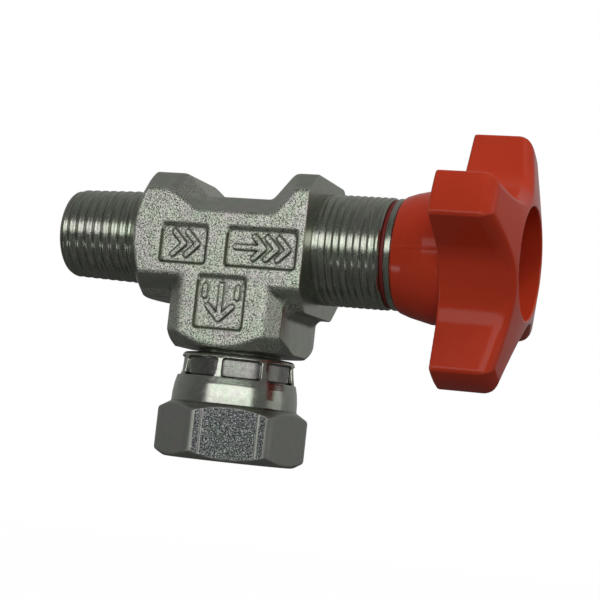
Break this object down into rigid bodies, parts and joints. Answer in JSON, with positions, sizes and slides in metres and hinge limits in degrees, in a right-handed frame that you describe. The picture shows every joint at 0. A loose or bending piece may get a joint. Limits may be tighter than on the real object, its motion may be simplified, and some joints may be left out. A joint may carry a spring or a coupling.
{
  "type": "needle valve",
  "caption": "Forged 90 degree needle valve with a taper-threaded inlet, a threaded panel bonnet, a lobed red knob and a swivel gauge nut on its branch.",
  "frame": {"origin": "centre of the inlet stub's end face, on the main axis", "axes": "+X along the main axis from the inlet to the knob, -Z down the branch to the gauge nut, -Y out of the front face"},
  "size_m": [0.0682, 0.0366, 0.0494],
  "materials": {
    "zinc_forged": "bright zinc plate over a sand-textured forging",
    "zinc_turned": "bright zinc plate over turned steel",
    "stainless": "ground stainless steel",
    "brass": "turned brass",
    "spring_steel": "dark phosphated spring steel",
    "red_plastic": "glossy moulded red plastic",
    "red_seal": "matt red rubber",
    "black_rubber": "matt black nitrile rubber",
    "white_ptfe": "waxy white PTFE"
  },
  "bodies": {
    "valve_body": {"valve_body": "zinc_forged", "gauge_seal_ring": "white_ptfe", "thrust_washer": "brass", "backup_ring_inner": "white_ptfe", "spindle_o_ring": "black_rubber", "backup_ring_outer": "white_ptfe", "gland_bush": "brass", "gland_o_ring": "black_rubber", "gland_circlip": "spring_steel", "wiper_ring": "black_rubber", "bonnet_ring": "red_seal"},
    "needle": {"needle": "stainless"},
    "knob_spindle": {"spindle": "stainless", "needle_retaining_ring": "spring_steel", "knob": "red_plastic", "knob_insert": "brass", "knob_washer": "zinc_turned", "knob_spring_washer": "spring_steel", "knob_screw": "zinc_turned"},
    "gauge_nut": {"gauge_nut": "zinc_turned"}
  },
  "joints": [
    {"name": "needle_lift", "type": "slide", "parent": "valve_body", "child": "needle", "axis": [1, 0, 0], "range_m": [0, 0.0035]},
    {"name": "knob_turn", "type": "hinge", "parent": "needle", "child": "knob_spindle", "pos_m": [0.05, 0, 0], "axis": [1, 0, 0], "range_deg": [0, 1260]},
    {"name": "gauge_nut_swivel", "type": "hinge", "parent": "valve_body", "child": "gauge_nut", "pos_m": [0.0278, 0, -0.024], "axis": [0, 0, 1], "continuous": true}
  ],
  "couplings": [
    {"joint": "knob_turn", "follows": "needle_lift", "rad_per_m": 6283.2}
  ]
}
